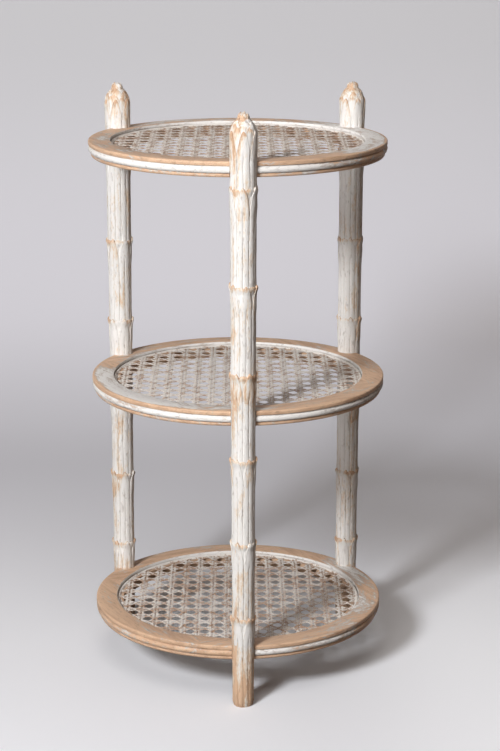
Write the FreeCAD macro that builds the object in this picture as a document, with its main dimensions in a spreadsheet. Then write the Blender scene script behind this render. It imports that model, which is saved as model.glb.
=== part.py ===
import FreeCAD, Part
import math
import os
import Sketcher
from FreeCAD import Vector

# Three-tier side table, millimetres, +Z up.  Three round caned shelves are notched over three carved
# posts.  The origin is on the floor at the centre of the footprint, and the front post is at -Y.

doc = FreeCAD.newDocument("TieredSideTable")

# ---------------------------------------------------------------- driving dimensions

SIZES = (
    # shelves
    ("shelf_diameter", 360.0),
    ("rim_width", 26.0),              # flat top of the rim, from its edge to the opening
    ("rim_thickness", 18.3),
    ("bottom_shelf_top", 75.0),
    ("shelf_spacing", 291.0),
    ("first_joint_angle", 18.0),      # a rim joint lies this far before the right-hand direction
    # moulded edge of the rim, from the top down
    ("slab_edge", 5.0),
    ("slab_round", 1.6),
    ("quirk_depth", 2.4),             # narrow groove under the slab
    ("quirk_height", 1.2),
    ("ovolo_height", 7.4),
    ("ovolo_inset", 1.7),
    ("ovolo_radius", 4.6),
    ("bead_inset", 2.8),
    ("bead_round", 1.2),
    # cane and the reed that holds it
    ("cane_recess", 4.2),
    ("cane_thickness", 1.4),
    ("cane_lip", 0.7),
    ("cane_seat", 8.0),               # the rim's ledge, measured in from the opening
    ("cane_fit", 0.1),
    ("cane_pitch_across", 17.85),
    ("cane_pitch_deep", 21.1),
    ("cane_hole", 12.0),
    ("cane_shift_across", -5.0),
    ("cane_shift_deep", 5.5),
    ("cane_turn", -2.0),
    ("reed_width", 2.4),
    ("reed_groove_depth", 3.2),
    ("reed_stand", 0.5),              # the reed stands this far above the cane
    # posts
    ("post_inset", 2.0),              # post axes, in from the edge of the shelves
    ("back_post_angle", 55.5),        # each back post, measured from straight back
    ("foot_diameter", 26.0),
    ("crown_diameter", 30.8),
    ("foot_chamfer", 1.6),
    ("neck_rise", 4.0),               # the finial starts this far above the top shelf
    ("finial_height", 53.0),
    ("bract_height", 24.0),           # widest place of the finial, above its neck
    ("bract_diameter", 32.8),
    ("bract_round", 32.0),
    ("bud_height", 9.0),              # rounded cluster at the very tip
    ("bud_diameter", 18.0),           # at its base
    # leaf joints carved round the posts
    ("collar_flare", 2.0),
    ("collar_height", 9.0),
    ("collar_lip", 1.6),
    ("lower_joint_rise", 40.0),       # first leaf joint above the bottom shelf
    ("lower_joint_drop", 36.0),       # third leaf joint below the middle rim
    ("upper_joint_rise", 48.0),
    ("upper_joint_drop", 9.0),
    ("middle_joint_share", 0.48),     # second joint, as a share of the way from first to third
    # reeding of the posts
    ("reeding_count", 12),
    ("reeding_depth", 0.9),
    ("reeding_half_angle", 35.0),
    # fastenings
    ("post_fit", 0.3),                # clearance between a post and its notch
    ("screw_shank", 3.8),
    ("screw_head", 6.6),
    ("screw_head_height", 2.0),
    ("screw_point", 5.0),
    ("screw_reach", 1.2),             # the screws end this far past the axis of the post
    ("screw_fit", 0.15),
    ("screw_height", 5.0),            # screw axis above the underside of the rim
    ("counterbore_depth", 4.2),
    ("plug_margin", 0.4),             # plug diameter over that of the screw head
    ("dowel_diameter", 6.0),
    ("dowel_length", 30.0),
    ("dowel_fit", 0.15),
    ("dowel_height", 5.6),            # dowel axes above the underside of the rim
    ("dowel_inset", 10.0),            # outer dowel, in from the edge of the rim
    ("dowel_spread", 10.0),
)


def make_sheet():
    sizes = doc.addObject("Spreadsheet::Sheet", "Sizes")
    for row, (alias, number) in enumerate(SIZES, start=1):
        sizes.set("A%d" % row, alias.replace("_", " "))
        sizes.set("B%d" % row, str(number))
        sizes.setAlias("B%d" % row, alias)
    doc.recompute()
    return sizes


sheet = make_sheet()

# Sizes that follow from the driving ones, as expressions for the document.
SHELF_R = "(Sizes.shelf_diameter / 2)"
OPENING_R = "(%s - Sizes.rim_width)" % SHELF_R
SEAT_R = "(%s - Sizes.cane_seat)" % OPENING_R
GROOVE_R = "(%s - Sizes.reed_width - Sizes.cane_lip - 3 * Sizes.cane_fit)" % OPENING_R
CANE_TOP = "(Sizes.rim_thickness - Sizes.cane_recess)"
SEAT_Z = "(%s - Sizes.cane_thickness)" % CANE_TOP
GROOVE_Z = "(%s - Sizes.reed_groove_depth)" % SEAT_Z
POST_R = "(%s - Sizes.post_inset)" % SHELF_R
BOTTOM_TOP = "Sizes.bottom_shelf_top"
MIDDLE_TOP = "(Sizes.bottom_shelf_top + Sizes.shelf_spacing)"
TOP_TOP = "(Sizes.bottom_shelf_top + 2 * Sizes.shelf_spacing)"
NECK_Z = "(%s + Sizes.neck_rise)" % TOP_TOP
TIP_Z = "(%s + Sizes.finial_height)" % NECK_Z
PLUG_LENGTH = "(Sizes.counterbore_depth - Sizes.screw_head_height)"
SCREW_HOLE = "(Sizes.screw_shank + 2 * Sizes.screw_fit)"
PLUG_DIAMETER = "(Sizes.screw_head + Sizes.plug_margin)"
PLUG_HOLE = "(%s + 2 * Sizes.screw_fit)" % PLUG_DIAMETER
HEAD_TOP_R = "(%s + %s)" % (SEAT_R, PLUG_LENGTH)
HEAD_BASE_R = "(%s + Sizes.counterbore_depth)" % SEAT_R
FIRST_SCREW_Z = "(%s - Sizes.rim_thickness + Sizes.screw_height)" % BOTTOM_TOP

SHELVES = (("bottom", BOTTOM_TOP), ("middle", MIDDLE_TOP), ("top", TOP_TOP))
POSTS = {
    "front": "(-90)",
    "back_right": "(90 - Sizes.back_post_angle)",
    "back_left": "(90 + Sizes.back_post_angle)",
}
ARC_ANGLE = 90
# Each quarter of a rim: its name, the joint that it starts from, and the post notched into it.
ARCS = (("right", 0, "back_right"), ("back", 1, "back_left"), ("left", 2, None), ("front", -1, "front"))


def shaft_radius(height):
    """Radius of a post's shaft at a height, as it widens from foot to neck."""
    widening = "(Sizes.crown_diameter - Sizes.foot_diameter) / 2"
    return "(Sizes.foot_diameter / 2 + %s * %s / %s)" % (widening, height, NECK_Z)


def leaf_joints():
    """Heights of the six leaf joints, three in each bay between the shelves."""
    heights = []
    for bay, below, above in (("lower", BOTTOM_TOP, MIDDLE_TOP), ("upper", MIDDLE_TOP, TOP_TOP)):
        first = "(%s + Sizes.%s_joint_rise)" % (below, bay)
        third = "(%s - Sizes.rim_thickness - Sizes.%s_joint_drop)" % (above, bay)
        second = "(%s + Sizes.middle_joint_share * (%s - %s))" % (first, third, first)
        heights += [first, second, third]
    return heights


JOINTS = leaf_joints()
COLLAR_R = "(%s + Sizes.collar_flare)" % shaft_radius(JOINTS[-1])
# The shelves' axis stands back from the origin, so that the footprint is centred on the origin.
AXIS_Y = "((%s + %s - %s) / 2)" % (POST_R, COLLAR_R, SHELF_R)


def value(expression):
    """Present value of an expression."""
    result = sheet.evalExpression(expression)
    return float(getattr(result, "Value", result))


# ---------------------------------------------------------------- drawing helpers

def new_body(label):
    body = doc.addObject("PartDesign::Body", label)
    body.Label = label
    return body


def origin_feature(body, role):
    return [feature for feature in body.Origin.OriginFeatures if feature.Role == role][0]


def placement(x="0", y="0", z="0", axis="0; 0; 1", angle="0"):
    """Expression for a place and a turn."""
    return "placement(vector(%s; %s; %s); rotation(vector(%s); %s))" % (x, y, z, axis, angle)


def new_sketch(body, name, role, offset="0", turn="0"):
    """Sketch on an origin plane; offset lifts it off the plane, turn turns it about the Z axis."""
    upright = "0; 0; 1" if role == "XY_Plane" else "0; 1; 0"
    sketch = body.newObject("Sketcher::SketchObject", name)
    sketch.AttachmentSupport = [(origin_feature(body, role), "")]
    sketch.MapMode = "FlatFace"
    sketch.setExpression("AttachmentOffset", placement(z=offset, axis=upright, angle=turn))
    doc.recompute()
    return sketch


def bind(sketch, kind, *target, expression):
    """Add a dimension and bind it to its expression."""
    index = sketch.addConstraint(Sketcher.Constraint(kind, *target, value(expression)))
    sketch.setExpression("Constraints[%d]" % index, expression)


def draw_outline(sketch, points):
    """Closed outline through (x, y) points; a third entry is the radius of the arc to the next point."""
    places = [Vector(value(point[0]), value(point[1]), 0) for point in points]
    edges = []
    for i, point in enumerate(points):
        start = places[i]
        end = places[(i + 1) % len(points)]
        if len(point) == 2:
            curve = Part.LineSegment(start, end)
        else:
            curve = bulging_arc(start, end, value(point[2]))
        index = sketch.addGeometry(curve)
        first, last = (1, 2) if sketch.Geometry[index].StartPoint.distanceToPoint(start) < 1e-6 else (2, 1)
        edges.append((index, first, last))
    for i, (index, first, last) in enumerate(edges):
        following, next_first, _ = edges[(i + 1) % len(edges)]
        sketch.addConstraint(Sketcher.Constraint("Coincident", index, last, following, next_first))
    for (index, first, last), point in zip(edges, points):
        bind(sketch, "DistanceX", index, first, expression=point[0])
        bind(sketch, "DistanceY", index, first, expression=point[1])
        if len(point) == 3:
            bind(sketch, "Radius", index, expression=point[2])


def bulging_arc(start, end, radius):
    """Arc that bulges to the right of the way from start to end."""
    chord = end - start
    half = chord.Length / 2
    rise = radius - math.sqrt(max(radius * radius - half * half, 0.0))
    side = Vector(chord.y, -chord.x, 0).normalize()
    return Part.Arc(start, start + chord * 0.5 + side * rise, end)


def draw_circle(sketch, x, y, diameter):
    centre = Vector(value(x), value(y), 0)
    circle = sketch.addGeometry(Part.Circle(centre, Vector(0, 0, 1), value(diameter) / 2))
    bind(sketch, "DistanceX", circle, 3, expression=x)
    bind(sketch, "DistanceY", circle, 3, expression=y)
    bind(sketch, "Diameter", circle, expression=diameter)


def revolve(body, sketch, name, axis="Z_Axis", angle="360"):
    feature = body.newObject("PartDesign::Revolution", name)
    feature.Profile = sketch
    feature.ReferenceAxis = (origin_feature(body, axis), [""])
    feature.setExpression("Angle", angle)
    doc.recompute()
    return feature


def pocket(body, sketch, name, length=None, reverse=False):
    """Cut a sketch away, through everything or to a length."""
    before = body.Shape.Volume
    feature = body.newObject("PartDesign::Pocket", name)
    feature.Profile = sketch
    feature.Reversed = reverse
    if length is None:
        feature.Type = "ThroughAll"
    else:
        feature.setExpression("Length", length)
    doc.recompute()
    if body.Shape.Volume > before - 1.0:
        raise RuntimeError("%s of %s cuts nothing" % (name, body.Label))
    return feature


def repeat_up(body, feature, name):
    """Repeat a feature at every shelf."""
    rows = body.newObject("PartDesign::LinearPattern", name)
    rows.Originals = [feature]
    rows.Direction = (origin_feature(body, "Z_Axis"), [""])
    rows.setExpression("Length", "%d * Sizes.shelf_spacing" % (len(SHELVES) - 1))
    rows.Occurrences = len(SHELVES)
    body.Tip = rows
    doc.recompute()


def repeat_round(body, feature, name, count):
    """Repeat a feature all round the Z axis."""
    ring = body.newObject("PartDesign::PolarPattern", name)
    ring.Originals = [feature]
    ring.Axis = (origin_feature(body, "Z_Axis"), [""])
    ring.setExpression("Occurrences", count)
    body.Tip = ring
    doc.recompute()


def copy_of(master, label):
    """A piece of the same make as another, with a name and a place of its own."""
    piece = doc.addObject("Part::Compound", label)
    piece.Label = label
    piece.Links = [master]
    return piece


def place_on_shelf(target, top, turn="0"):
    """Place a thing made about the shelf's axis, its own zero at the underside of the rim."""
    height = "%s - Sizes.rim_thickness" % top
    target.setExpression("Placement", placement(y=AXIS_Y, z=height, angle=turn))


def place_at_post(target, angle, height="0"):
    """Place a thing made about a post's axis, with its local +X towards the shelves' axis."""
    x = "%s * cos(%s * 1 deg)" % (POST_R, angle)
    y = "%s + %s * sin(%s * 1 deg)" % (AXIS_Y, POST_R, angle)
    target.setExpression("Placement", placement(x, y, height, angle="%s + 180" % angle))


# ---------------------------------------------------------------- posts

def shaft_profile():
    """Half outline of a post, up from the foot: shaft, flared leaf joints and bud finial."""
    bud_radius = "(Sizes.bud_diameter ^ 2 / 4 + Sizes.bud_height ^ 2) / (2 * Sizes.bud_height)"
    points = [
        ("0", "0"),
        ("%s - Sizes.foot_chamfer" % shaft_radius("0"), "0"),
        (shaft_radius("Sizes.foot_chamfer"), "Sizes.foot_chamfer"),
    ]
    for joint in JOINTS:
        shaft = shaft_radius(joint)
        points += [
            (shaft, "%s - Sizes.collar_height" % joint),
            ("%s + Sizes.collar_flare" % shaft, "%s - Sizes.collar_lip" % joint),
            ("%s + Sizes.collar_flare / 2" % shaft, joint),
            (shaft, "%s + Sizes.collar_lip" % joint),
        ]
    points += [
        ("Sizes.crown_diameter / 2", NECK_Z),
        ("Sizes.bract_diameter / 2", "%s + Sizes.bract_height" % NECK_Z, "Sizes.bract_round"),
        ("Sizes.bud_diameter / 2", "%s - Sizes.bud_height" % TIP_Z, bud_radius),
        ("0", TIP_Z),
    ]
    return points


def reeding_section(sketch, height):
    """V section of a reeding cut: its apex lies in the shaft, its mouth clears the leaf joints."""
    apex = "%s - Sizes.reeding_depth" % shaft_radius(height)
    mouth = "%s + 2 * Sizes.collar_flare" % shaft_radius(height)
    half_width = "(Sizes.reeding_depth + 2 * Sizes.collar_flare) * tan(Sizes.reeding_half_angle * 1 deg)"
    draw_outline(sketch, [(apex, "0"), (mouth, "-(%s)" % half_width), (mouth, half_width)])


def make_post():
    """The carved post, made about its own axis, with ridges of its reeding at +X and -X."""
    body = new_body("CarvedPost")
    outline = new_sketch(body, "PostOutline", "XZ_Plane")
    draw_outline(outline, shaft_profile())
    revolve(body, outline, "TurnedPost")

    half_pitch = "180 / Sizes.reeding_count"
    foot = new_sketch(body, "ReedingAtFoot", "XY_Plane", turn=half_pitch)
    reeding_section(foot, "0")
    neck = new_sketch(body, "ReedingAtNeck", "XY_Plane", offset=NECK_Z, turn=half_pitch)
    reeding_section(neck, NECK_Z)
    cut = body.newObject("PartDesign::SubtractiveLoft", "ReedingCut")
    cut.Profile = foot
    cut.Sections = [neck]
    cut.Ruled = True
    doc.recompute()
    repeat_round(body, cut, "Reeding", "Sizes.reeding_count")

    hole = new_sketch(body, "ScrewHole", "YZ_Plane", offset="-Sizes.screw_reach")
    draw_circle(hole, "0", FIRST_SCREW_Z, SCREW_HOLE)
    bore = pocket(body, hole, "ScrewBore", reverse=True)
    repeat_up(body, bore, "ScrewBores")
    return body


# ---------------------------------------------------------------- screws and plugs

def make_screws():
    """The screws of a post, one at each shelf, driven outwards through the rim."""
    body = new_body("PostScrews")
    outline = new_sketch(body, "ScrewOutline", "XZ_Plane")
    head_top = "%s - %s" % (POST_R, HEAD_TOP_R)
    head_base = "%s - %s" % (POST_R, HEAD_BASE_R)
    draw_outline(outline, [
        (head_top, "0"),
        ("-Sizes.screw_reach", "0"),
        ("Sizes.screw_point - Sizes.screw_reach", "Sizes.screw_shank / 2"),
        (head_base, "Sizes.screw_shank / 2"),
        (head_base, "Sizes.screw_head / 2"),
        (head_top, "Sizes.screw_head / 2"),
    ])
    screw = revolve(body, outline, "Screw", axis="X_Axis")
    repeat_up(body, screw, "Screws")
    return body


def make_plugs():
    """The wooden plugs that close the screw holes in the rims at a post."""
    body = new_body("PostPlugs")
    face = new_sketch(body, "PlugFace", "YZ_Plane", offset="%s - %s" % (POST_R, HEAD_TOP_R))
    draw_circle(face, "0", "0", PLUG_DIAMETER)
    plug = body.newObject("PartDesign::Pad", "Plug")
    plug.Profile = face
    plug.setExpression("Length", PLUG_LENGTH)
    doc.recompute()
    repeat_up(body, plug, "Plugs")
    return body


# ---------------------------------------------------------------- rims

def rim_profile():
    """Section of a rim: moulded edge outside, ledge and reed groove inside."""
    quirk_top = "Sizes.rim_thickness - Sizes.slab_edge"
    ovolo_top = "%s - Sizes.quirk_height" % quirk_top
    bead_top = "%s - Sizes.ovolo_height" % ovolo_top
    return [
        (SEAT_R, "0"),
        ("%s - Sizes.bead_inset - Sizes.bead_round" % SHELF_R, "0", "Sizes.bead_round"),
        ("%s - Sizes.bead_inset" % SHELF_R, "Sizes.bead_round"),
        ("%s - Sizes.bead_inset" % SHELF_R, bead_top),
        ("%s - Sizes.ovolo_inset" % SHELF_R, bead_top, "Sizes.ovolo_radius"),
        ("%s - Sizes.ovolo_inset" % SHELF_R, ovolo_top),
        ("%s - Sizes.quirk_depth" % SHELF_R, "%s - Sizes.quirk_height / 2" % quirk_top),
        (SHELF_R, quirk_top),
        (SHELF_R, "Sizes.rim_thickness - Sizes.slab_round", "Sizes.slab_round"),
        ("%s - Sizes.slab_round" % SHELF_R, "Sizes.rim_thickness"),
        (OPENING_R, "Sizes.rim_thickness"),
        (OPENING_R, GROOVE_Z),
        (GROOVE_R, GROOVE_Z),
        (GROOVE_R, SEAT_Z),
        (SEAT_R, SEAT_Z),
    ]


def dowel_circles(sketch, diameter):
    """The two dowels of a rim joint."""
    outer = "%s - Sizes.dowel_inset" % SHELF_R
    for radius in (outer, "%s - Sizes.dowel_spread" % outer):
        draw_circle(sketch, radius, "Sizes.dowel_height", diameter)


def make_rim_arc(shelf, top, arc, joint, post):
    """A quarter of a rim, made so that its post stands in the local +X direction."""
    body = new_body("%s_rim_%s" % (shelf, arc))
    reference = POSTS[post] if post else "0"
    start = "%d - Sizes.first_joint_angle - %s" % (ARC_ANGLE * joint, reference)
    end = "%d + %s" % (ARC_ANGLE, start)
    section = new_sketch(body, "RimSection", "XZ_Plane", turn=start)
    draw_outline(section, rim_profile())
    revolve(body, section, "RimArc", angle=str(ARC_ANGLE))

    dowel_hole = "Sizes.dowel_diameter + 2 * Sizes.dowel_fit"
    dowel_depth = "Sizes.dowel_length / 2 + Sizes.dowel_fit"
    for name, turn, reverse in (("Start", start, False), ("End", end, True)):
        holes = new_sketch(body, "DowelHoles" + name, "XZ_Plane", turn=turn)
        dowel_circles(holes, dowel_hole)
        pocket(body, holes, "DowelBores" + name, dowel_depth, reverse)
    if post:
        notch = new_sketch(body, "NotchOutline", "XY_Plane")
        draw_circle(notch, POST_R, "0", "2 * (%s + Sizes.post_fit)" % shaft_radius(top))
        pocket(body, notch, "PostNotch", reverse=True)
        shank = new_sketch(body, "ShankHole", "YZ_Plane")
        draw_circle(shank, "0", "Sizes.screw_height", SCREW_HOLE)
        pocket(body, shank, "ShankBore", reverse=True)
        head = new_sketch(body, "HeadHole", "YZ_Plane")
        draw_circle(head, "0", "Sizes.screw_height", PLUG_HOLE)
        pocket(body, head, "Counterbore", HEAD_BASE_R, reverse=True)
    place_on_shelf(body, top, reference)
    return body


def make_dowels():
    """The dowels in a rim's four joints."""
    body = new_body("RimDowels")
    section = new_sketch(body, "DowelSection", "XZ_Plane", turn="-Sizes.first_joint_angle")
    dowel_circles(section, "Sizes.dowel_diameter")
    pair = body.newObject("PartDesign::Pad", "DowelPair")
    pair.Profile = section
    pair.Midplane = True
    pair.setExpression("Length", "Sizes.dowel_length")
    doc.recompute()
    repeat_round(body, pair, "Dowels", "%d / %d" % (360, ARC_ANGLE))
    return body


# ---------------------------------------------------------------- cane and reed

def cane_web_face():
    """Flat web of the cane: a disc with round holes, as many as lie whole inside the ledge."""
    radius = value(SEAT_R)
    hole = value("Sizes.cane_hole / 2")
    across = value("Sizes.cane_pitch_across")
    deep = value("Sizes.cane_pitch_deep")
    circles = [Part.makeCircle(radius)]
    reach = math.ceil(radius / min(across, deep))
    for column in range(-reach, reach + 1):
        for row in range(-reach, reach + 1):
            x = value("Sizes.cane_shift_across") + column * across
            y = value("Sizes.cane_shift_deep") + row * deep
            if math.hypot(x, y) + hole + value("Sizes.cane_thickness") < radius:
                circles.append(Part.makeCircle(hole, Vector(x, y, 0)))
    return Part.makeFace([Part.Wire(circle) for circle in circles], "Part::FaceMakerBullseye")


def make_cane_panel():
    """Woven cane panel: open web, solid border on the ledge, and a lip down into the reed groove."""
    border = new_body("CaneBorder")
    section = new_sketch(border, "BorderSection", "XZ_Plane")
    lip_r = "%s + Sizes.cane_fit" % GROOVE_R
    flange_top = "%s + Sizes.cane_lip" % GROOVE_Z
    draw_outline(section, [
        (SEAT_R, SEAT_Z),
        (lip_r, SEAT_Z),
        (lip_r, GROOVE_Z),
        ("%s - Sizes.cane_fit" % OPENING_R, GROOVE_Z),
        ("%s - Sizes.cane_fit" % OPENING_R, flange_top),
        ("%s + Sizes.cane_lip" % lip_r, flange_top),
        ("%s + Sizes.cane_lip" % lip_r, CANE_TOP),
        (SEAT_R, CANE_TOP),
    ])
    revolve(border, section, "Border")
    face = doc.addObject("Part::Feature", "CaneWebFace")
    face.Shape = cane_web_face()
    web = doc.addObject("Part::Extrusion", "CaneWeb")
    web.Base = face
    web.DirMode = "Custom"
    web.Dir = Vector(0, 0, 1)
    web.Solid = True
    web.setExpression("LengthFwd", "Sizes.cane_thickness")
    web.setExpression("Placement", placement(z=SEAT_Z))
    panel = doc.addObject("Part::Fuse", "CanePanel")
    panel.Base = border
    panel.Tool = web
    doc.recompute()
    return panel


def make_reed():
    """Round-topped reed pressed into the groove over the edge of the cane."""
    body = new_body("CaneReed")
    section = new_sketch(body, "ReedSection", "XZ_Plane")
    inner = "%s + 2 * Sizes.cane_fit + Sizes.cane_lip" % GROOVE_R
    outer = "%s - Sizes.cane_fit" % OPENING_R
    base = "%s + Sizes.cane_lip" % GROOVE_Z
    shoulder = "%s + Sizes.reed_stand - Sizes.reed_width / 4" % CANE_TOP
    draw_outline(section, [
        (inner, base),
        (outer, base),
        (outer, shoulder, "Sizes.reed_width * 0.625"),
        (inner, shoulder),
    ])
    revolve(body, section, "Reed")
    return body


# ---------------------------------------------------------------- build and export

def build():
    """Make every piece and put it in its place."""
    parts = []
    post, screws, plugs = make_post(), make_screws(), make_plugs()
    for name, angle in POSTS.items():
        for master, suffix, height in (
            (post, "post", "0"),
            (screws, "post_screws", FIRST_SCREW_Z),
            (plugs, "post_plugs", FIRST_SCREW_Z),
        ):
            piece = copy_of(master, "%s_%s" % (name, suffix))
            place_at_post(piece, angle, height)
            parts.append(piece)
    dowels, panel, reed = make_dowels(), make_cane_panel(), make_reed()
    for shelf, top in SHELVES:
        for arc, joint, post_name in ARCS:
            parts.append(make_rim_arc(shelf, top, arc, joint, post_name))
        for master, suffix, turn in (
            (dowels, "rim_dowels", "0"),
            (panel, "cane_panel", "Sizes.cane_turn"),
            (reed, "cane_reed", "0"),
        ):
            piece = copy_of(master, "%s_%s" % (shelf, suffix))
            place_on_shelf(piece, top, turn)
            parts.append(piece)
    doc.recompute()
    return parts


def check(parts):
    for item in doc.Objects:
        if "Invalid" in item.State or "Error" in item.State:
            raise RuntimeError("%s did not build: %s" % (item.Label, item.State))
    for part in parts:
        if part.Shape.isNull() or not part.Shape.isValid() or not part.Shape.Solids:
            raise RuntimeError("%s has no sound solid" % part.Label)


def export(parts):
    os.makedirs("parts", exist_ok=True)
    for part in parts:
        part.Shape.exportStep("parts/%s.step" % part.Label)
        box = part.Shape.BoundBox
        print("%-24s %2d solid(s) %9.0f mm3  z %6.1f to %6.1f" % (
            part.Label, len(part.Shape.Solids), part.Shape.Volume, box.ZMin, box.ZMax))


table_parts = build()
check(table_parts)
export(table_parts)
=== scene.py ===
"""Looks of a three-tier side table: carved posts, moulded rims and open woven cane."""

import collections
import math
import random

import bmesh
import bpy
from bpy.props import FloatProperty, FloatVectorProperty, IntProperty, PointerProperty
from mathutils import Matrix, Vector, noise as smooth_noise


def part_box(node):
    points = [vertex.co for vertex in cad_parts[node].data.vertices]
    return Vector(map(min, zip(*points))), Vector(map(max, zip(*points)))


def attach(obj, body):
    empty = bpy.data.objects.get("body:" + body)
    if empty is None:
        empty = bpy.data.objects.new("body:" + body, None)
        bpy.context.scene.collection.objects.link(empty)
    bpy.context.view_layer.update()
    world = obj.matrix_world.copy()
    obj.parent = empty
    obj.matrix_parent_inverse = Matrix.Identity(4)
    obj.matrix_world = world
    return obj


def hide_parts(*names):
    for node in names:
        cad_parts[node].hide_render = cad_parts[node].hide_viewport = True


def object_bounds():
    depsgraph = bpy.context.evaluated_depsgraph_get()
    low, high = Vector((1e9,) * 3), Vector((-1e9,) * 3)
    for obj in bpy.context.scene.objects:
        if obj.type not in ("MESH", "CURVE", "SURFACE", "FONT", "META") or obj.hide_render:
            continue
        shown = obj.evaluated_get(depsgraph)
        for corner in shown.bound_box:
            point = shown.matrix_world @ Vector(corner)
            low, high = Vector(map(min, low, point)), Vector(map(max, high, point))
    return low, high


bl_info = {
    "name": "Caned Tier Table",
    "version": (1, 0, 0),
    "blender": (4, 5, 0),
    "location": "3D View > Sidebar > Tier Table",
    "description": "Carved posts, moulded rims and woven cane for a three-tier side table",
    "category": "Add Mesh",
}

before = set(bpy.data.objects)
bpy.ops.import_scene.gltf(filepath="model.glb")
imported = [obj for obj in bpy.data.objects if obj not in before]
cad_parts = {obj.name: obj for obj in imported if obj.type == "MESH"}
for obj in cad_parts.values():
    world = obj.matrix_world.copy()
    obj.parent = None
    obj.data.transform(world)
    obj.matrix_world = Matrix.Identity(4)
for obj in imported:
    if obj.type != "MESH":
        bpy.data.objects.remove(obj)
CAD_BOX = [list(corner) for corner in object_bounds()]
BODY = "root"

SHELVES = ("bottom", "middle", "top")
POSTS = ("front", "back_right", "back_left")
ARCS = ("right", "back", "left", "front")
# The post that each arc of a rim is notched for.
NOTCHES = {"right": "back_right", "back": "back_left", "front": "front"}

REED_LOW, REED_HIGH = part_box("top_cane_reed")
RIM_LOW, RIM_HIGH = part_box("top_rim_left")
# The upright axis of the shelves.
AXIS = (REED_LOW + REED_HIGH) / 2
OPENING_R = (REED_HIGH.x - REED_LOW.x) / 2
SHELF_R = (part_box("top_rim_right")[1].x - RIM_LOW.x) / 2
RIM_THICKNESS = RIM_HIGH.z - RIM_LOW.z
# How far the cane and its reed lie under the top of a rim.
CANE_DROP = RIM_HIGH.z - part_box("top_cane_panel")[1].z
REED_DROP = RIM_HIGH.z - REED_HIGH.z
SHELF_TOP = {shelf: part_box(shelf + "_rim_left")[1].z for shelf in SHELVES}
TIP_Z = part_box("front_post")[1].z
# Places that are nearer to each other than this count as one.
TOUCH = 0.0001


def from_axis(place):
    """How far a place is from the axis, to the right and to the back."""
    return place.x - AXIS.x, place.y - AXIS.y


def on_axis(height):
    return Vector((AXIS.x, AXIS.y, height))


def post_centre(post):
    """Where the axis of a post stands on the floor."""
    low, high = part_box(post + "_post")
    return Vector(((low.x + high.x) / 2, (low.y + high.y) / 2, 0.0))


# ---------------------------------------------------------------- settings

def length(name, description, default):
    return FloatProperty(
        name=name, description=description, default=default, subtype="DISTANCE", unit="LENGTH")


def angle(name, description, degrees):
    return FloatProperty(
        name=name, description=description, default=math.radians(degrees), subtype="ANGLE")


def share(name, description, default):
    return FloatProperty(
        name=name, description=description, default=default, min=0.0, max=1.0, subtype="FACTOR")


def level(name, description, default):
    """A plain number, such as bareness: 0 for whole paint, 1 for paint worn off."""
    return FloatProperty(name=name, description=description, default=default, min=0.0)


def millimetres(name, description, default):
    return FloatProperty(
        name=name, description=description, default=default, subtype="DISTANCE_CAMERA")


def colour(name, description, default):
    return FloatVectorProperty(
        name=name, description=description, default=default, size=3,
        min=0.0, max=1.0, subtype="COLOR")


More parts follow.
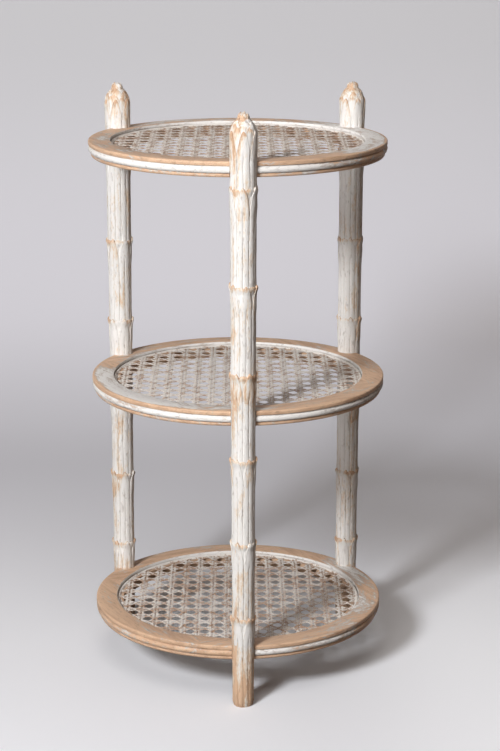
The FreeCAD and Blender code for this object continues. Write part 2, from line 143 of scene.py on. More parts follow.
class CarvingSizes(bpy.types.PropertyGroup):
    """Sizes and wear of the carving on the posts"""

    foot_radius: length("Foot radius", "Radius of a post at the floor", 0.0130)
    crown_radius: length("Crown radius", "Radius of a post under its finial", 0.0154)
    foot_chamfer: length("Foot chamfer", "Chamfer round the foot", 0.0016)
    lower_rise: length("Lower rise", "First leaf joint above the bottom shelf", 0.040)
    lower_drop: length("Lower drop", "Third leaf joint below the middle rim", 0.036)
    upper_rise: length("Upper rise", "Fourth leaf joint above the middle shelf", 0.048)
    upper_drop: length("Upper drop", "Sixth leaf joint below the top rim", 0.009)
    middle_share: share("Middle share", "Second joint, between the first and the third", 0.48)
    leaf_pairs: IntProperty(
        name="Leaf pairs", description="Main leaves round a joint", default=6, min=3)
    leaf_length: length("Leaf length", "Length of a leaf, from its tip to its root", 0.046)
    leaf_gap: length("Leaf gap", "Depth of the V between two main leaves", 0.030)
    leaf_lift: length("Leaf lift", "Height of a main leaf over the shaft", 0.0009)
    leaf_thickness: length("Leaf thickness", "Thickness of a leaf at its edge", 0.0022)
    leaf_point: level("Leaf point", "How pointed a main leaf is", 0.5)
    leaf_dish: length("Leaf dish", "The sides of a leaf lie this far under its middle", 0.0006)
    root_sink: length("Root sink", "The root of a leaf lies this far under the shaft", 0.0002)
    root_height: length("Root height", "Height of a leaf's root", 0.002)
    raised_share: share("Raised share", "Part of a leaf's length that stands at full height", 0.45)
    second_point: level("Second point", "How pointed a leaf behind is", 0.2)
    second_sink: length("Second sink", "The leaves behind lie this far under the shaft", 0.0003)
    second_drop: length("Second drop", "The leaves behind end this far under the main ones", 0.0011)
    edge_bead: length("Edge bead", "Height of the raised edge of a leaf", 0.0004)
    tip_flare: length("Tip flare", "How far a leaf bends out under its tip", 0.0018)
    tip_bend: length("Tip bend", "A leaf starts to bend out this far under its tip", 0.011)
    tip_curl: length("Tip curl", "A leaf stands out most this far under its tip", 0.0022)
    tip_return: share("Tip return", "Part of the flare that is lost again at the tip", 0.45)
    midrib_start: length("Midrib start", "The midrib's groove starts this far under the tip", 0.021)
    midrib_full: length("Midrib full", "The groove is at full depth this far under the tip", 0.030)
    overlap: length("Overlap", "A length of shaft starts this far under its joint", 0.008)
    joint_swell: length("Joint swell", "The shaft swells by this much just over a joint", 0.0004)
    groove_depth: length("Groove depth", "Depth of the grooves between the reeds", 0.0008)
    groove_share: share("Groove share", "Half width of a groove, as a share of half a reed", 0.14)
    reed_crown: length("Reed crown", "Roundness of the reeds between the grooves", 0.00035)
    wander: angle("Wander", "How far the carving wanders round the post", 2.4)
    ripple: length("Ripple", "Height of the knife's ripples", 0.00022)
    neck_rise: length("Neck rise", "The finial starts this far above the top shelf", 0.004)
    neck_swell: length("Neck swell", "The post starts to swell this far under its finial", 0.026)
    bract_rise: length("Bract rise", "Widest place of the finial above its neck", 0.024)
    bract_radius: length("Bract radius", "Radius of the finial at its widest", 0.0163)
    shoulder_round: length("Shoulder round", "Radius of the finial's rounded shoulder", 0.027)
    bud_radius: length("Bud radius", "Radius of the round bud at the very tip", 0.0069)
    core_inset: length("Core inset", "The finial's core lies this far inside its bracts", 0.0010)
    shaft_bare: level("Shaft wear", "Bareness of a shaft", 0.22)
    foot_bare: level("Foot wear", "Bareness that the foot has more than the shaft", 0.55)
    foot_low: length("Foot low", "The foot is worn in full up to this height", 0.035)
    foot_high: length("Foot high", "The wear of the foot ends at this height", 0.125)
    leaf_bare: level("Leaf wear", "Bareness of a leaf and of the finial's core", 0.20)
    tip_bare: level("Tip wear", "Bareness that the tip of a long leaf has more", 0.38)
    small_tip_bare: level("Small tip wear", "Bareness that the tip of a short leaf has more", 0.28)
    tip_low: length("Tip low", "The wear of a tip ends this far under it", 0.0085)
    tip_high: length("Tip high", "A leaf is worn in full down to this far under its tip", 0.002)
    edge_bare: level("Edge wear", "Bareness that the raised edge of a leaf has more", 0.14)
    # Painted shade, with some dark wax, along the raised edge of a leaf.
    edge_wax_and_shade: level("Edge wax", "Dark wax along the raised edge of a leaf", 0.45)
    # Painted shade, with some dark wax, on the finial's core between the bracts.
    core_wax_and_shade: level("Core wax", "Dark wax between the bracts", 0.35)


class RimSizes(bpy.types.PropertyGroup):
    """Sizes and wear of the moulded rims"""

    first_joint: angle("First joint", "A joint lies this far before the right-hand direction", 18.0)
    skin: length("Skin", "The rim lies this far inside its plain solid", 0.00003)
    slab_edge: length("Slab edge", "Height of the slab over the groove", 0.0050)
    slab_round: length("Slab round", "Rounding of the slab's upper edge", 0.0016)
    worn_edge: length("Worn edge", "Width of the worn band along the slab's edge", 0.0035)
    quirk_depth: length("Quirk depth", "Depth of the groove under the slab", 0.0021)
    quirk_height: length("Quirk height", "Height of the groove under the slab", 0.0011)
    ovolo_height: length("Ovolo height", "Height of the round moulding", 0.0074)
    ovolo_inset: length("Ovolo inset", "Edge of the round moulding, in from the slab", 0.0019)
    ovolo_radius: length("Ovolo radius", "Radius of the round moulding", 0.0046)
    bead_inset: length("Bead inset", "Bottom bead, in from the slab", 0.0028)
    bead_radius: length("Bead radius", "Radius of the bottom bead", 0.0027)
    bead_height: share("Bead height", "Height of the bead's middle, as a share of its radius", 0.85)
    bead_sweep: angle("Bead sweep", "The bead turns this far up and down from its middle", 58.0)
    arris: length("Arris", "Rounding of the sharp edges", 0.0005)
    seat: length("Seat", "Ledge under the edge of the cane", 0.0080)
    seat_drop: length("Seat drop", "The ledge lies this far under the top of the cane", 0.0014)
    # Height of the band of painted shadow on the inner wall just over the reed.
    gap_shadow_height: length("Gap line", "Height of the dark line on the wall over the reed", 0.0007)
    post_fit: length("Post fit", "Clearance round a post", 0.0003)
    slab_bare: level("Slab wear", "Bareness of the slab's outer edge", 0.92)
    bead_bare: level("Bead wear", "Bareness that the bead has more than the round moulding", 0.66)
    wall_bare: level("Wall wear", "Bareness of the inner wall over the reed", 0.10)
    ledge_bare: level("Ledge wear", "Bareness of the ledge and the hidden wall under the cane", 1.1)
    # Painted shade, with some dark wax, in the groove under the slab.
    quirk_wax_and_shade: level("Quirk wax", "Dark wax in the groove under the slab", 0.5)
    # Painted shadow on the wall where it meets the reed.
    gap_shadow: level("Gap wax", "Dark wax between the wall and the reed", 0.9)
    # Painted shade on the ledge and the hidden wall under the cane.
    ledge_shade: level("Ledge wax", "Dark wax on the ledge", 0.35)


class CaneSizes(bpy.types.PropertyGroup):
    """Sizes and wear of the six-way weave"""

    pitch_across: length("Pitch across", "Distance of the holes across the table", 0.01785)
    pitch_deep: length("Pitch deep", "Distance of the holes from front to back", 0.0211)
    shift_across: length("Shift across", "A hole lies this far from the middle", -0.0050)
    shift_deep: length("Shift deep", "A hole lies this far from the middle", 0.0055)
    turn: angle("Turn", "Turn of the weave on the table", -2.0)
    strand_width: length("Strand width", "Width of a strand of cane", 0.0029)
    strand_thickness: length("Strand thickness", "Thickness of a strand of cane", 0.0006)
    pair_across: length("Pair across", "Half the spacing in a pair that runs front to back", 0.0021)
    pair_deep: length("Pair deep", "Half the spacing in a pair that runs across", 0.0026)
    weave_height: length("Weave height", "How far a strand rises and dips", 0.00024)
    edge_cover: length("Edge cover", "The ends of the strands lie this far under the reed", 0.0010)
    reed_width: length("Reed width", "Width of the reed round the cane", 0.0038)
    # Painted shade on a strand's sides and underside, as a share of their extra wear.
    strand_side_shade: level("Strand wax", "Dark wax on a strand's corners, as a share of their wear", 0.9)
    reed_bare: level("Reed wear", "Bareness of a reed", 0.22)
    # Painted shadow on a reed where it meets the rim: its darkness, where it ends and its darkest core.
    reed_gap_shadow: level("Reed wax", "Dark wax where a reed meets the rim", 0.8)
    shadow_width: length("Wax width", "The wax ends this far from the rim", 0.0012)
    shadow_core: length("Wax core", "The wax is at its darkest up to this far from the rim", 0.0005)


class Finishes(bpy.types.PropertyGroup):
    """Colours of the worn paint, the wood and the cane"""

    paint: colour("Paint", "Chalky off-white paint", (0.86, 0.85, 0.83))
    thin_on_post: colour("Thin paint on a post", "Paint where it is rubbed thin", (0.78, 0.655, 0.52))
    thin_on_rim: colour("Thin paint on a rim", "Paint where it is rubbed thin", (0.57, 0.51, 0.46))
    wood: colour("Wood", "Light bare wood", (0.74, 0.51, 0.345))
    wood_dark: colour("Dark wood", "Grain lines of the bare wood", (0.50, 0.31, 0.20))
    # Dark colour of wax and knife cuts, also painted as shade in hollows, grooves and gaps.
    grime_and_shade: colour("Grime", "Dark wax left in the grooves", (0.17, 0.11, 0.075))
    cane: colour("Cane", "Bare cane", (0.455, 0.30, 0.205))
    cane_wash: colour("Cane wash", "Whitewash on the cane", (0.82, 0.785, 0.74))
    beech: colour("Beech", "Wood of the dowels and plugs", (0.55, 0.38, 0.23))
    zinc: colour("Zinc", "Zinc plate of the screws", (0.62, 0.61, 0.58))


class StageSizes(bpy.types.PropertyGroup):
    """The paper that makes floor and backdrop, the light and the camera"""

    floor: colour("Floor", "Colour of the floor", (0.90, 0.92, 0.97))
    # Painted shade: the bend, the high wall and the shade on the left are darker to copy how the light
    # falls.
    bend: colour("Bend", "Colour of the paper where it starts to rise", (0.72, 0.73, 0.81))
    wall: colour("Wall", "Colour of the backdrop", (0.86, 0.87, 0.965))
    high: colour("High wall", "Colour of the backdrop behind the top shelf", (0.785, 0.80, 0.85))
    shade: colour("Shade", "Colour that the paper fades to on the left", (0.36, 0.36, 0.38))
    unseen: colour("Unseen", "Colour of the paper for light that it throws back", (0.10, 0.085, 0.075))
    air: colour("Air", "Colour of the light from all round", (1.0, 0.62, 0.42))
    air_strength: share("Air strength", "Strength of the light from all round", 0.085)
    beyond: colour("Beyond", "Colour that is seen beyond the paper", (0.56, 0.56, 0.59))
    # Painted light: the glows brighten the paper where the lamps don't reach.
    floor_glow: share("Floor glow", "Brightness of the far floor that the lamps don't give", 0.12)
    side_glow: share("Side glow", "Brightness of the near floor that is added on the right", 0.13)
    floor_reach: length("Floor reach", "The paper reaches this far to the front and sides", 4.0)
    wall_distance: length("Wall distance", "The paper starts to rise this far behind the table", 0.85)
    bend_radius: length("Bend radius", "Radius of the bend from the floor to the backdrop", 0.6)
    paper_length: length("Paper length", "Length of the paper from end to end", 9.0)
    camera_x: length("Camera x", "Camera, across from the table", -0.0858)
    camera_y: length("Camera y", "Camera, in front of the shelves' axis", -2.4495)
    camera_z: length("Camera z", "Camera above the floor", 1.0179)
    camera_tilt: angle("Tilt", "The camera looks down by this angle", 15.0)
    camera_turn: angle("Turn", "The camera looks this far to the right", 2.356)
    camera_roll: angle("Roll", "Roll of the camera", 0.077)
    lens: millimetres("Lens", "Focal length", 97.97)
    sensor: millimetres("Sensor", "Height of the sensor", 36.0)


class TableSettings(bpy.types.PropertyGroup):
    """All settings of the table"""

    carving: PointerProperty(type=CarvingSizes)
    rim: PointerProperty(type=RimSizes)
    cane: PointerProperty(type=CaneSizes)
    finish: PointerProperty(type=Finishes)
    stage: PointerProperty(type=StageSizes)


# ---------------------------------------------------------------- modelling helpers

def deselect_all():
    """Leave edit mode if need be and deselect everything."""
    if bpy.context.mode != "OBJECT":
        bpy.ops.object.mode_set(mode="OBJECT")
    bpy.ops.object.select_all(action="DESELECT")


def activate(piece):
    """Make a piece the only one that is selected."""
    deselect_all()
    piece.select_set(True)
    bpy.context.view_layer.objects.active = piece


def tidy_mesh(piece, fill=False):
    """Merge doubled points, close open ends if asked, and turn every face outwards."""
    activate(piece)
    bpy.ops.object.mode_set(mode="EDIT")
    bpy.ops.mesh.select_all(action="SELECT")
    bpy.ops.mesh.remove_doubles(threshold=1e-6)
    if fill:
        bpy.ops.mesh.fill_holes(sides=0)
    bpy.ops.mesh.normals_make_consistent(inside=False)
    bpy.ops.object.mode_set(mode="OBJECT")


def smooth(piece, degrees=35.0):
    activate(piece)
    bpy.ops.object.shade_smooth_by_angle(angle=math.radians(degrees))


def apply_modifier(piece, kind, **settings):
    """Add a modifier with these settings and apply it."""
    activate(piece)
    modifier = piece.modifiers.new(kind.title(), kind)
    for name, value in settings.items():
        setattr(modifier, name, value)
    bpy.ops.object.modifier_apply(modifier=modifier.name)


def copy_at(piece, matrix):
    """A copy with a mesh of its own, moved by the matrix."""
    twin = piece.copy()
    twin.data = piece.data.copy()
    twin.data.transform(matrix)
    bpy.context.scene.collection.objects.link(twin)
    return twin


def join(pieces, name):
    """Make one named piece of many."""
    deselect_all()
    for piece in pieces:
        piece.select_set(True)
    bpy.context.view_layer.objects.active = pieces[0]
    bpy.ops.object.join()
    joined = bpy.context.object
    joined.name = name
    joined.data.name = name
    return joined


def remove(piece):
    bpy.data.meshes.remove(piece.data)


def point_values(piece, name, kind="FLOAT"):
    """The named value that a piece holds at each of its points."""
    return piece.data.attributes.get(name) or piece.data.attributes.new(name, kind, "POINT")


def mark_wear(piece, wear):
    """Store how bare and how hollow the surface is at each point; wear gives both for a place; the
    materials paint hollowness as shade, with dark wax on the wood.
    """
    bare = point_values(piece, "bare")
    hollow = point_values(piece, "hollow")
    for vertex in piece.data.vertices:
        bare.data[vertex.index].value, hollow.data[vertex.index].value = wear(vertex.co)


def mark_along(piece, name, along, offset):
    """Store each point's place along and across a grain; the offset gives a piece its own figure."""
    grain = point_values(piece, name, "FLOAT_VECTOR")
    shift = Vector((offset, offset, offset))
    for vertex in piece.data.vertices:
        grain.data[vertex.index].vector = Vector(along(vertex.co)) + shift


def carve_blank(columns, rows, place):
    """Add a flat blank and carve it.

    For a point's place on the blank, from -1 to 1 across and along, the function place gives its
    position, bareness and hollowness.
    """
    deselect_all()
    bpy.ops.mesh.primitive_grid_add(x_subdivisions=columns, y_subdivisions=rows, size=2)
    blank = bpy.context.object
    bare = point_values(blank, "bare")
    hollow = point_values(blank, "hollow")
    for vertex in blank.data.vertices:
        i = vertex.index
        vertex.co, bare.data[i].value, hollow.data[i].value = place(vertex.co.x, vertex.co.y)
    return blank


def spin_section(section, start, sweep, steps, centre):
    """Draw a closed section, with points as (radius, height), and spin it round a vertical axis."""
    deselect_all()
    bpy.ops.mesh.primitive_circle_add(vertices=len(section), fill_type="NOTHING")
    ring = bpy.context.object
    for vertex, (radius, height) in zip(ring.data.vertices, section):
        vertex.co = (radius * math.cos(start), radius * math.sin(start), height)
    bpy.ops.object.mode_set(mode="EDIT")
    bpy.ops.mesh.select_all(action="SELECT")
    if sweep < 2 * math.pi - TOUCH:
        bpy.ops.mesh.edge_face_add()
    bpy.ops.mesh.spin(steps=steps, angle=-sweep, center=(0, 0, 0), axis=(0, 0, 1))
    bpy.ops.object.mode_set(mode="OBJECT")
    ring.data.transform(Matrix.Translation(centre))
    tidy_mesh(ring)
    return ring


def arc_points(centre, radius, first, last, steps):
    """Points of an arc in a section, its angles in degrees."""
    points = []
    for i in range(steps + 1):
        turn = math.radians(first + (last - first) * i / steps)
        points.append((centre[0] + radius * math.cos(turn), centre[1] + radius * math.sin(turn)))
    return points


def smoothstep(low, high, value):
    """0 at low, 1 at high and a smooth change between them; low may be the greater one."""
    t = min(max((value - low) / (high - low), 0.0), 1.0)
    return t * t * (3 - 2 * t)


def finish_piece(piece, node, material):
    """Seat a finished piece in the frame, in place of the node that it dresses."""
    piece.data.materials.clear()
    piece.data.materials.append(material)
    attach(piece, BODY)
    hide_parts(node)


# ---------------------------------------------------------------- materials

def feed(tree, socket, value):
    """Link a socket's value, or set a plain one."""
    if isinstance(value, bpy.types.NodeSocket):
        tree.links.new(value, socket)
    elif socket.type == "RGBA":
        socket.default_value = (*value, 1.0)
    else:
        socket.default_value = value


def feed_all(tree, node, values):
    """Feed several sockets of a node, found by their names or numbers."""
    for name, value in values.items():
        feed(tree, node.inputs[name], value)


def add_node(tree, kind, output, values, **settings):
    """Add a node with these settings, feed its sockets and return its named output."""
    node = tree.nodes.new(kind)
    for name, value in settings.items():
        setattr(node, name, value)
    feed_all(tree, node, values)
    return node.outputs[output]


def new_material(name):
    """A new material, its node tree and its shader."""
    material = bpy.data.materials.new(name)
    material.use_nodes = True
    tree = material.node_tree
    return material, tree, tree.nodes["Principled BSDF"]


def attribute(tree, name, output="Fac"):
    return add_node(tree, "ShaderNodeAttribute", output, {}, attribute_name=name)


def object_place(tree):
    return add_node(tree, "ShaderNodeTexCoord", "Object", {})


def stretched(tree, vector, scale):
    return add_node(tree, "ShaderNodeMapping", "Vector", {"Vector": vector, "Scale": scale})


def noise(tree, vector, scale, detail, roughness=0.55, distortion=0.0):
    return add_node(tree, "ShaderNodeTexNoise", "Fac", {
        "Vector": vector,
        "Scale": scale,
        "Detail": detail,
        "Roughness": roughness,
        "Distortion": distortion,
    })


def streaky(tree, vector, along, scale, detail, roughness, distortion=0.0):
    """Noise that is drawn out along the first axis, where it is only along times as fine."""
    longer = stretched(tree, vector, (along, 1.0, 1.0))
    return noise(tree, longer, scale, detail, roughness, distortion)


def calculate(tree, operation, first, second):
    return add_node(tree, "ShaderNodeMath", "Value", {0: first, 1: second}, operation=operation)


def ramp(tree, value, low, high, to_low=0.0, to_high=1.0):
    """A smooth step from one value to another."""
    values = {"Value": value, "From Min": low, "From Max": high, "To Min": to_low, "To Max": to_high}
    return add_node(tree, "ShaderNodeMapRange", "Result", values, interpolation_type="SMOOTHSTEP")


def blend(tree, factor, first, second):
    values = {"Factor": factor, "A": first, "B": second}
    return add_node(tree, "ShaderNodeMix", "Result", values, data_type="RGBA")


def bump(tree, height, strength, distance, before=None):
    """Relief from a height, laid over the relief before it if there is one."""
    values = {"Height": height, "Strength": strength, "Distance": distance}
    if before is not None:
        values["Normal"] = before
    return add_node(tree, "ShaderNodeBump", "Normal", values)


def spread(tree, base, layers):
    """Add noise layers, as (noise, weight) pairs, to a base value without changing its mean."""
    total = base
    for layer, weight in layers:
        total = calculate(tree, "ADD", total, calculate(tree, "MULTIPLY", layer, weight))
        total = calculate(tree, "SUBTRACT", total, weight / 2)
    return total


def worn_paint(name, finish, thin):
    """Chalky paint rubbed through to light wood, with dark wax and painted shade in the grooves and
    hollows.
    """
    material, tree, shader = new_material(name)
    grain = attribute(tree, "grain", "Vector")
    brush = attribute(tree, "brush", "Vector")
    bare = attribute(tree, "bare")
    hollow = attribute(tree, "hollow")

    fibres = streaky(tree, grain, along=0.05, scale=900.0, detail=4.0, roughness=0.65)
    figure = streaky(tree, grain, along=0.12, scale=110.0, detail=3.0, roughness=0.5, distortion=0.6)
    streaks = streaky(tree, grain, along=0.10, scale=260.0, detail=4.0, roughness=0.6)
    cuts = streaky(tree, grain, along=0.30, scale=330.0, detail=2.0, roughness=0.5)
    patches = streaky(tree, brush, along=0.30, scale=64.0, detail=4.0, roughness=0.55, distortion=0.3)
    chips = streaky(tree, brush, along=0.35, scale=560.0, detail=3.0, roughness=0.65)

    # Bare wood: its broad figure and its fine fibres.
    wood = blend(tree, ramp(tree, figure, 0.38, 0.72, 0.0, 0.7), finish.wood, finish.wood_dark)
    wood = blend(tree, ramp(tree, fibres, 0.45, 0.75, 0.0, 0.5), wood, finish.wood_dark)

    # How thick the paint is at a place, and so where it is rubbed thin or gone.
    cover = calculate(tree, "SUBTRACT", 1.0, bare)
    cover = spread(tree, cover, ((patches, 1.7), (streaks, 1.2), (chips, 0.8)))
    painted = ramp(tree, cover, 0.26, 0.50)
    thick = ramp(tree, cover, 0.40, 0.78)
    chalk = blend(tree, ramp(tree, chips, 0.55, 0.75, 0.0, 0.35), finish.paint, thin)

    # Paint over wood, then dark wax and painted shade in the hollows, fibres that show through, and
    # knife cuts.
    surface = blend(tree, painted, wood, blend(tree, thick, thin, chalk))
    wax_and_shade = calculate(tree, "MULTIPLY", hollow, ramp(tree, patches, 0.35, 0.65, 0.55, 0.1))
    surface = blend(tree, wax_and_shade, surface, finish.grime_and_shade)
    surface = blend(tree, ramp(tree, fibres, 0.58, 0.80, 0.0, 0.3), surface, finish.wood_dark)
    surface = blend(tree, ramp(tree, cuts, 0.56, 0.74, 0.0, 0.32), surface, finish.grime_and_shade)

    relief = bump(tree, thick, strength=0.35, distance=0.0003)
    relief = bump(tree, cuts, strength=0.5, distance=0.0008, before=relief)
    relief = bump(tree, fibres, strength=0.6, distance=0.0003, before=relief)
    feed_all(tree, shader, {
        "Base Color": surface,
        "Roughness": ramp(tree, painted, 0.0, 1.0, 0.52, 0.72),
        "Specular IOR Level": 0.3,
        "Normal": relief,
    })
    return material


def washed_cane(finish):
    """Cane strands with a thin whitewash, rubbed through in places, and darkened by painted shade where
    they are hollow.
    """
    material, tree, shader = new_material("washed_cane")
    place = object_place(tree)
    bare = attribute(tree, "bare")
    hollow = attribute(tree, "hollow")
    clouds = noise(tree, place, scale=55.0, detail=2.0, roughness=0.5)
    flakes = noise(tree, place, scale=190.0, detail=2.0, roughness=0.5)
    specks = noise(tree, place, scale=520.0, detail=3.0, roughness=0.6)
    wash = calculate(tree, "SUBTRACT", 1.0, bare)
    wash = spread(tree, wash, ((clouds, 1.3), (flakes, 1.4), (specks, 1.2)))
    washed = ramp(tree, wash, 0.30, 0.66)
    strand = blend(tree, washed, finish.cane, finish.cane_wash)
    feed_all(tree, shader, {
        "Base Color": blend(tree, hollow, strand, finish.grime_and_shade),
        "Roughness": ramp(tree, washed, 0.0, 1.0, 0.45, 0.7),
        "Specular IOR Level": 0.35,
        "Normal": bump(tree, specks, strength=0.3, distance=0.0002),
    })
    return material


def bare_beech(finish):
    """Plain light wood of the dowels and plugs."""
    material, tree, shader = new_material("bare_beech")
    place = stretched(tree, object_place(tree), (1.0, 1.0, 0.2))
    flecks = noise(tree, place, scale=700.0, detail=3.0)
    feed_all(tree, shader, {
        "Base Color": blend(tree, ramp(tree, flecks, 0.4, 0.7), finish.beech, finish.wood_dark),
        "Roughness": 0.6,
        "Normal": bump(tree, flecks, strength=0.2, distance=0.0001),
    })
    return material


def zinc_steel(finish):
    """Dull zinc-plated steel of the screws."""
    material, tree, shader = new_material("zinc_steel")
    scuffs = noise(tree, object_place(tree), scale=900.0, detail=2.0)
    feed_all(tree, shader, {
        "Base Color": finish.zinc,
        "Metallic": 1.0,
        "Roughness": ramp(tree, scuffs, 0.3, 0.7, 0.3, 0.5),
    })
    return material


# ---------------------------------------------------------------- carved posts

# Points across and along the blanks of a leaf and of the finial's core, points across one reed of a
# shaft, and the distance of the rows of points along it.
LEAF_GRID = (12, 14)
CORE_GRID = (36, 20)
REED_COLUMNS = 24
SHAFT_ROW = 0.006
# No point of a leaf comes nearer than this to the middle of its post.
LEAST_RADIUS = 0.0006
# The tips of leaves that are longer than this are worn more.
LONG_LEAF = 0.03
# Width of the bevel round a leaf, as a share of the leaf's thickness.
LEAF_BEVEL = 0.22
# How uneven the leaves of a ring are: turn in degrees, drop, least share of the full radius, and wear.
UNEVEN_TURN = 1.5
UNEVEN_DROP = 0.0016
UNEVEN_SHARE = 0.986
UNEVEN_WEAR = 0.20
# How fine the carving's wander is round a post and along it, and how many times finer its ripple and
# the filling of the grooves are.
WANDER_ROUND = 1.3
WANDER_ALONG = 28.0
RIPPLE_FINENESS = 2.3
FILLING_FINENESS = 1.7
# The mean filling of a groove, and the part of its depth that a full filling takes up.
FILLING_MEAN = 0.25
FILLING_DEPTH = 0.8
# Nearer than this to the middle of a post nothing wanders.
STILL_RADIUS = 0.004
# What sets the random draws of the posts and the figure of each post's wood apart.
POST_SEED = 11
POST_FIGURE = 0.37


def neck_height(carving):
    """Height at which the finials start."""
    return SHELF_TOP["top"] + carving.neck_rise


def shaft_radius(carving, height):
    """Radius of a post, which widens evenly from the foot to the neck."""
    widening = carving.crown_radius - carving.foot_radius
    return carving.foot_radius + widening * height / neck_height(carving)


def joint_heights(carving):
    """Heights of the six leaf joints, three in each bay."""
    heights = []
    bays = (
        ("bottom", "middle", carving.lower_rise, carving.lower_drop),
        ("middle", "top", carving.upper_rise, carving.upper_drop),
    )
    for below, above, rise, drop in bays:
        first = SHELF_TOP[below] + rise
        third = SHELF_TOP[above] - RIM_THICKNESS - drop
        heights += [first, first + (third - first) * carving.middle_share, third]
    return heights


def reed_hollow(carving, turn):
    """Depth of the reeding at an angle from a groove, and how far down a groove it is."""
    pitch = math.pi / carving.leaf_pairs
    off = abs((turn + pitch / 2) % pitch - pitch / 2) / (pitch / 2)
    groove = smoothstep(carving.groove_share, 0.0, off)
    return carving.reed_crown * (1 - off) ** 2 + carving.groove_depth * groove, groove


def round_post(radius, turn, height):
    """A place round a post; turns count from the front towards the right."""
    return Vector((radius * math.sin(turn), -radius * math.cos(turn), height))


def carve_shaft(carving, low, high, turn):
    """A reeded length of shaft, closed at both ends."""
    columns = REED_COLUMNS * carving.leaf_pairs
    rows = max(3, round((high - low) / SHAFT_ROW))
    joint = low + carving.overlap
    # The lowest length stands on the floor and has no joint.
    most_swell = carving.joint_swell if low > 0 else 0.0

    def place(u, v):
        height = low + (high - low) * (v + 1) / 2
        around = math.pi * (u + 1)
        depth, groove = reed_hollow(carving, around)
        chamfer = max(0.0, carving.foot_chamfer - height)
        swell = most_swell * smoothstep(joint + carving.overlap, joint, height)
        radius = shaft_radius(carving, height) + swell - depth - chamfer
        at_foot = smoothstep(carving.foot_high, carving.foot_low, height)
        bare = carving.shaft_bare + carving.foot_bare * at_foot
        # The groove share is also the hollowness, which paints shade and dark wax into the grooves.
        return round_post(radius, around + turn, height), bare, groove

    shaft = carve_blank(columns, rows, place)
    tidy_mesh(shaft, fill=True)
    return shaft


def face_outwards(sheet):
    """Turn the faces of an open sheet away from the upright axis that it is bent round."""
    outward = 0.0
    for face in sheet.data.polygons:
        outward += face.normal.x * face.center.x + face.normal.y * face.center.y
    if outward < 0:
        sheet.data.flip_normals()


def width_share(below, gap, point):
    """Share of its full width that a leaf has at a distance below its tip."""
    return min(1.0, max(below, 0.0) / gap) ** point


def carve_leaf(carving, leaf, surface):
    """A leaf that hugs a round surface, whose radius at a height is surface(height)."""
    half_pitch = math.pi / leaf.count
    root = min(leaf.lift, -carving.root_sink)
    root_top = leaf.length - carving.root_height
    tip_bare = carving.tip_bare if leaf.length > LONG_LEAF else carving.small_tip_bare

    def place(u, v):
        # The rows of points lie closer together near the tip.
        below = leaf.length * ((1 - v) / 2) ** 1.5
        height = leaf.tip - below
        turn = u * half_pitch * width_share(below, leaf.gap, leaf.point)
        depth, groove = reed_hollow(carving, turn)
        # A leaf is smooth and dished near its tip, and reeded like the shaft further down.
        reeded = smoothstep(carving.midrib_start, carving.midrib_full, below)
        edge = abs(u) ** 6 * (1 - reeded)
        raised = smoothstep(root_top, leaf.length * carving.raised_share, below)
        curl = smoothstep(carving.tip_bend, carving.tip_curl, below)
        curl -= carving.tip_return * smoothstep(carving.tip_curl, 0.0, below)
        out = root + (leaf.lift - root) * raised + leaf.flare * curl
        out += carving.edge_bead * edge - depth * reeded
        out -= carving.leaf_dish * (1 - reeded) * u * u
        radius = max(surface(height) + out, LEAST_RADIUS)
        at_tip = smoothstep(carving.tip_low, carving.tip_high, below)
        bare = carving.leaf_bare + tip_bare * at_tip + carving.edge_bare * edge
        # The hollowness paints shade and dark wax in the midrib's groove and along the raised edge.
        return round_post(radius, turn, height), bare, groove * reeded + carving.edge_wax_and_shade * edge

    sheet = carve_blank(*LEAF_GRID, place)
    tidy_mesh(sheet)
    face_outwards(sheet)
    apply_modifier(sheet, "SOLIDIFY", thickness=leaf.thickness, offset=-1.0)
    bevel = LEAF_BEVEL * leaf.thickness
    apply_modifier(sheet, "BEVEL", width=bevel, segments=1, limit_method="ANGLE")
    return sheet


def circle_width(radius, off):
    """Half the width of a circle at a distance from its middle."""
    return math.sqrt(max(radius ** 2 - off ** 2, 0.0))


def bulb_radius(carving, rise):
    """Radius of the finial at a height above its neck: swelling, shoulder and round bud."""
    bud_centre = TIP_Z - neck_height(carving) - carving.bud_radius
    if rise < carving.bract_rise:
        slim = shaft_radius(carving, neck_height(carving) + rise)
        swell = smoothstep(-carving.neck_swell, carving.bract_rise, rise)
        return slim + (carving.bract_radius - slim) * swell
    shoulder = circle_width(carving.shoulder_round, rise - carving.bract_rise)
    bud = circle_width(carving.bud_radius, rise - bud_centre)
    return max(carving.bract_radius - carving.shoulder_round + shoulder, bud)


def carve_bulb(carving):
    """The core of the finial, a little inside its bracts."""
    height = TIP_Z - neck_height(carving) - carving.core_inset

    def place(u, v):
        rise = height * (v + 1) / 2
        radius = max(bulb_radius(carving, rise) - carving.core_inset, 0.0) if v < 1 else 0.0
        # The core is darkened by painted shade and wax where it shows between the bracts.
        return round_post(radius, math.pi * (u + 1), rise), carving.leaf_bare, carving.core_wax_and_shade

    bulb = carve_blank(*CORE_GRID, place)
    tidy_mesh(bulb, fill=True)
    return bulb


# A leaf of a ring: height of its tip, length, depth of the V beside it, how pointed it is, its height
# over the surface, how far it bends out, its thickness, leaves in the ring, and turn of the ring in
# leaves.
Leaf = collections.namedtuple("Leaf", "tip length gap point lift flare thickness count shift")

